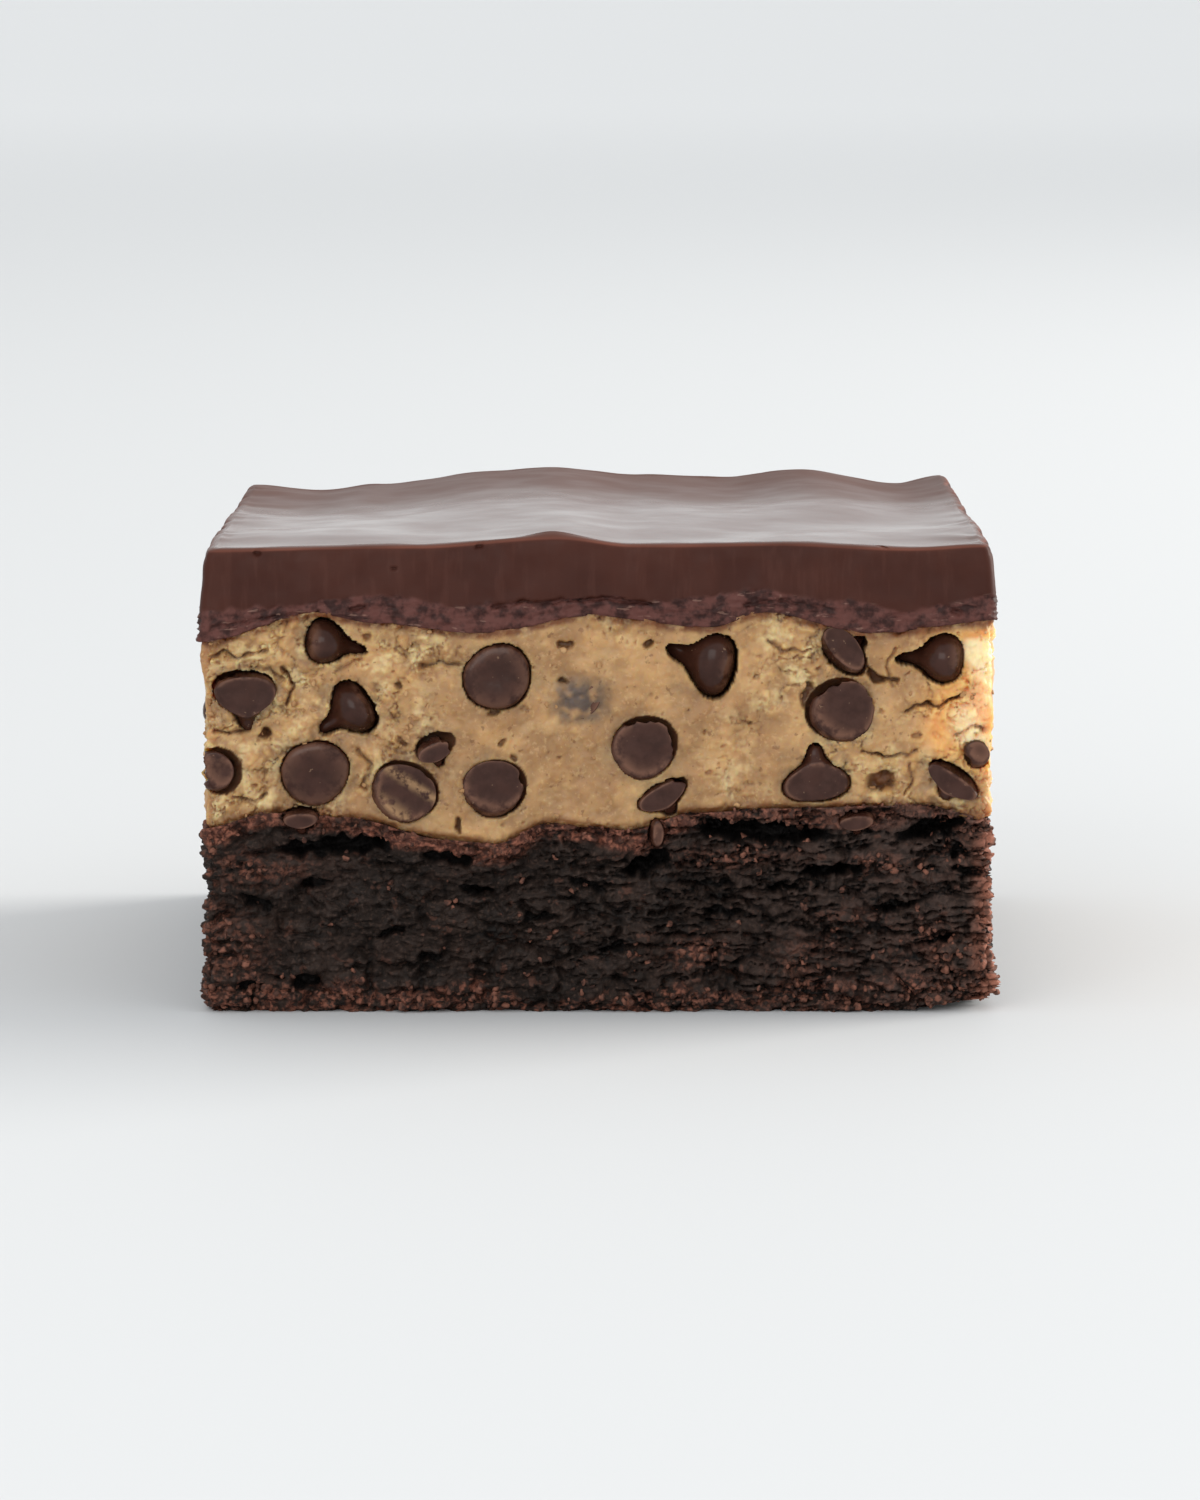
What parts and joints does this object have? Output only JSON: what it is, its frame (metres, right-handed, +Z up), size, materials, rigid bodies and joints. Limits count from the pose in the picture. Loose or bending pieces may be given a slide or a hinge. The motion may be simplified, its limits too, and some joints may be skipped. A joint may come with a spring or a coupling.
{
  "type": "cookie dough brownie",
  "caption": "Square piece of layer cake: dark crumbly brownie base, pale raw dough layer studded with small chocolate chips, smooth ganache on top.",
  "frame": {"origin": "centre of the square's foot, on the surface that it stands on", "axes": "+Z up through the layers, -Y towards the cut face that shows best, +X to the right of it"},
  "size_m": [0.0708, 0.0705, 0.0422],
  "materials": {
    "fudgy_crumb": "dense baked crumb, near black warm brown, rough and crumbly, redder crumbs at its edges",
    "cookie_dough": "raw cookie dough, pale tan, satin where the knife smoothed it and crumbly elsewhere, light passes a little way in",
    "set_ganache": "set chocolate ganache, dark reddish brown, satin gloss on top and a smooth matt cut face",
    "chocolate_chip": "dark chocolate, satin skin and matt cut faces"
  },
  "bodies": {
    "root": {"brownie_base": "fudgy_crumb", "cookie_dough": "cookie_dough", "ganache_top": "set_ganache", "chip_front_01": "chocolate_chip", "chip_front_02": "chocolate_chip", "chip_front_03": "chocolate_chip", "chip_front_04": "chocolate_chip", "chip_front_05": "chocolate_chip", "chip_front_06": "chocolate_chip", "chip_front_07": "chocolate_chip", "chip_front_08": "chocolate_chip", "chip_front_09": "chocolate_chip", "chip_front_10": "chocolate_chip", "chip_front_11": "chocolate_chip", "chip_front_12": "chocolate_chip", "chip_front_13": "chocolate_chip", "chip_front_14": "chocolate_chip", "chip_front_15": "chocolate_chip", "chip_front_16": "chocolate_chip", "chip_front_17": "chocolate_chip", "chip_front_18": "chocolate_chip", "chip_front_19": "chocolate_chip", "chip_front_20": "chocolate_chip", "chip_front_21": "chocolate_chip", "chip_front_22": "chocolate_chip", "chip_right_01": "chocolate_chip", "chip_right_02": "chocolate_chip", "chip_right_03": "chocolate_chip", "chip_right_04": "chocolate_chip", "chip_right_05": "chocolate_chip", "chip_right_06": "chocolate_chip", "chip_right_07": "chocolate_chip", "chip_right_08": "chocolate_chip", "chip_right_09": "chocolate_chip", "chip_right_10": "chocolate_chip", "chip_back_01": "chocolate_chip", "chip_back_02": "chocolate_chip", "chip_back_03": "chocolate_chip", "chip_back_04": "chocolate_chip", "chip_back_05": "chocolate_chip", "chip_back_06": "chocolate_chip", "chip_back_07": "chocolate_chip", "chip_back_08": "chocolate_chip", "chip_back_09": "chocolate_chip", "chip_back_10": "chocolate_chip", "chip_left_01": "chocolate_chip", "chip_left_02": "chocolate_chip", "chip_left_03": "chocolate_chip", "chip_left_04": "chocolate_chip", "chip_left_05": "chocolate_chip", "chip_left_06": "chocolate_chip", "chip_left_07": "chocolate_chip", "chip_left_08": "chocolate_chip", "chip_left_09": "chocolate_chip", "chip_left_10": "chocolate_chip"}
  },
  "joints": []
}
